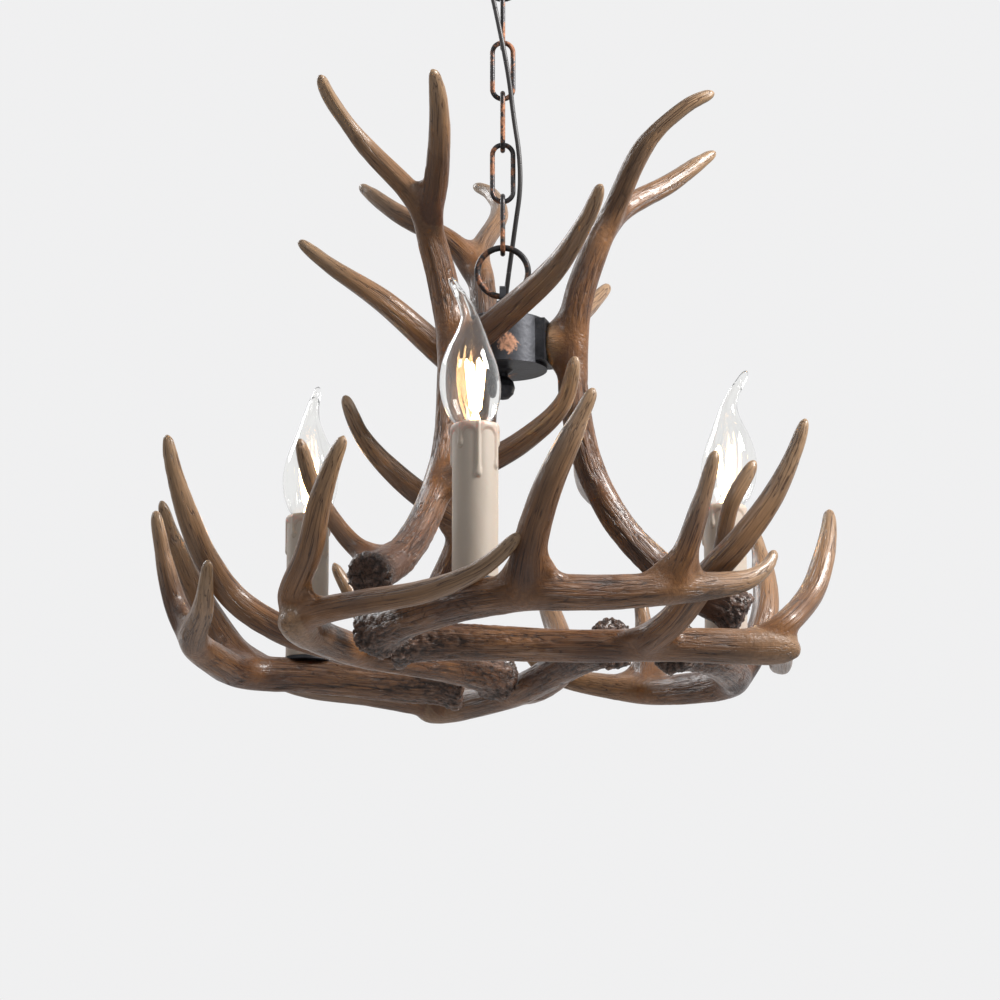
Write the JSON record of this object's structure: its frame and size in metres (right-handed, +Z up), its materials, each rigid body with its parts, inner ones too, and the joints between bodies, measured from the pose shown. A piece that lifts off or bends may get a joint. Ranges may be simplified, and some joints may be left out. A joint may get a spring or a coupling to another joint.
{
  "type": "antler chandelier",
  "caption": "Candle chandelier of cast deer antlers round a short hub, hung on oval chain from a ceiling canopy, with flame bulbs.",
  "frame": {"origin": "centre of the canopy's back, on the ceiling, at the end of the threaded shank of the ceiling loop", "axes": "+Z up into the ceiling, -Y towards the side that the picture shows, +X to its right"},
  "size_m": [0.4144, 0.4342, 0.4868],
  "materials": {
    "bronze": "dark bronze paint with rusty patches",
    "rusted_chain": "dark bronze worn to copper and rust",
    "zinc_steel": "zinc plated",
    "antler_resin": "cast resin antler, grooved, brown with pale tips, semi-gloss",
    "candle_wax": "aged wax colour, satin",
    "socket_resin": "moulded, matte",
    "bulb_glass": "clear",
    "bulb_brass": "stamped",
    "filament": "coated filament rods, warm",
    "cord_sleeve": "matt black insulation"
  },
  "bodies": {
    "ceiling": {"canopy": "bronze", "crossbar": "zinc_steel", "canopy_screws": "zinc_steel", "cap_nuts": "bronze", "ceiling_loop": "bronze", "loop_nut": "zinc_steel", "loop_collar": "bronze", "cord_bush": "cord_sleeve", "cord": "cord_sleeve"},
    "link_1": {"chain_link_1": "rusted_chain"},
    "link_2": {"chain_link_2": "rusted_chain"},
    "link_3": {"chain_link_3": "rusted_chain"},
    "link_4": {"chain_link_4": "rusted_chain"},
    "link_5": {"chain_link_5": "rusted_chain"},
    "ring": {"hub_ring": "bronze"},
    "bulb_1": {"bulb_glass_1": "bulb_glass", "bulb_cap_1": "bulb_brass", "bulb_filament_1": "filament"},
    "bulb_2": {"bulb_glass_2": "bulb_glass", "bulb_cap_2": "bulb_brass", "bulb_filament_2": "filament"},
    "bulb_3": {"bulb_glass_3": "bulb_glass", "bulb_cap_3": "bulb_brass", "bulb_filament_3": "filament"},
    "chandelier": {"hub_bush": "cord_sleeve", "hub_body": "bronze", "hub_floor": "bronze", "hub_rod": "zinc_steel", "finial": "bronze", "hub_eye": "bronze", "antler_plate_1": "bronze", "antler_plate_2": "bronze", "antler_plate_3": "bronze", "hub_screws": "zinc_steel", "upper_antler_1": "antler_resin", "upper_antler_2": "antler_resin", "upper_antler_3": "antler_resin", "inner_antler_1": "antler_resin", "inner_antler_2": "antler_resin", "inner_antler_3": "antler_resin", "outer_antler_1": "antler_resin", "outer_antler_2": "antler_resin", "outer_antler_3": "antler_resin", "joining_screws": "zinc_steel", "candle_pan_1": "bronze", "candle_tube_1": "zinc_steel", "candle_socket_1": "socket_resin", "candle_sleeve_1": "candle_wax", "candle_pan_2": "bronze", "candle_tube_2": "zinc_steel", "candle_socket_2": "socket_resin", "candle_sleeve_2": "candle_wax", "candle_pan_3": "bronze", "candle_tube_3": "zinc_steel", "candle_socket_3": "socket_resin", "candle_sleeve_3": "candle_wax"}
  },
  "joints": [
    {"name": "link_1_swing", "type": "hinge", "parent": "ceiling", "child": "link_1", "pos_m": [0, 0, -0.0552], "axis": [1, 0, 0], "range_deg": [-15, 15], "deforming": ["cord"]},
    {"name": "link_2_swing", "type": "hinge", "parent": "link_1", "child": "link_2", "pos_m": [0, 0, -0.0876], "axis": [0, 1, 0], "range_deg": [-15, 15], "deforming": ["cord"]},
    {"name": "link_3_swing", "type": "hinge", "parent": "link_2", "child": "link_3", "pos_m": [0, 0, -0.12065], "axis": [1, 0, 0], "range_deg": [-15, 15], "deforming": ["cord"]},
    {"name": "link_4_swing", "type": "hinge", "parent": "link_3", "child": "link_4", "pos_m": [0, 0, -0.1537], "axis": [0, 1, 0], "range_deg": [-15, 15], "deforming": ["cord"]},
    {"name": "link_5_swing", "type": "hinge", "parent": "link_4", "child": "link_5", "pos_m": [0, 0, -0.18675], "axis": [1, 0, 0], "range_deg": [-15, 15], "deforming": ["cord"]},
    {"name": "ring_swing", "type": "hinge", "parent": "link_5", "child": "ring", "pos_m": [0, 0, -0.2198], "axis": [0, 1, 0], "range_deg": [-15, 15], "deforming": ["cord"]},
    {"name": "chandelier_swing", "type": "hinge", "parent": "ring", "child": "chandelier", "pos_m": [0, 0, -0.2471], "axis": [1, 0, 0], "range_deg": [-15, 15], "deforming": ["cord"]},
    {"name": "bulb_1_turn", "type": "hinge", "parent": "chandelier", "child": "bulb_1", "pos_m": [-0.01568, -0.14918, -0.36445], "axis": [0, 0, 1], "range_deg": [0, 720]},
    {"name": "bulb_2_turn", "type": "hinge", "parent": "chandelier", "child": "bulb_2", "pos_m": [0.13703, 0.06101, -0.36445], "axis": [0, 0, 1], "range_deg": [0, 720]},
    {"name": "bulb_3_turn", "type": "hinge", "parent": "chandelier", "child": "bulb_3", "pos_m": [-0.12135, 0.08817, -0.36445], "axis": [0, 0, 1], "range_deg": [0, 720]}
  ]
}
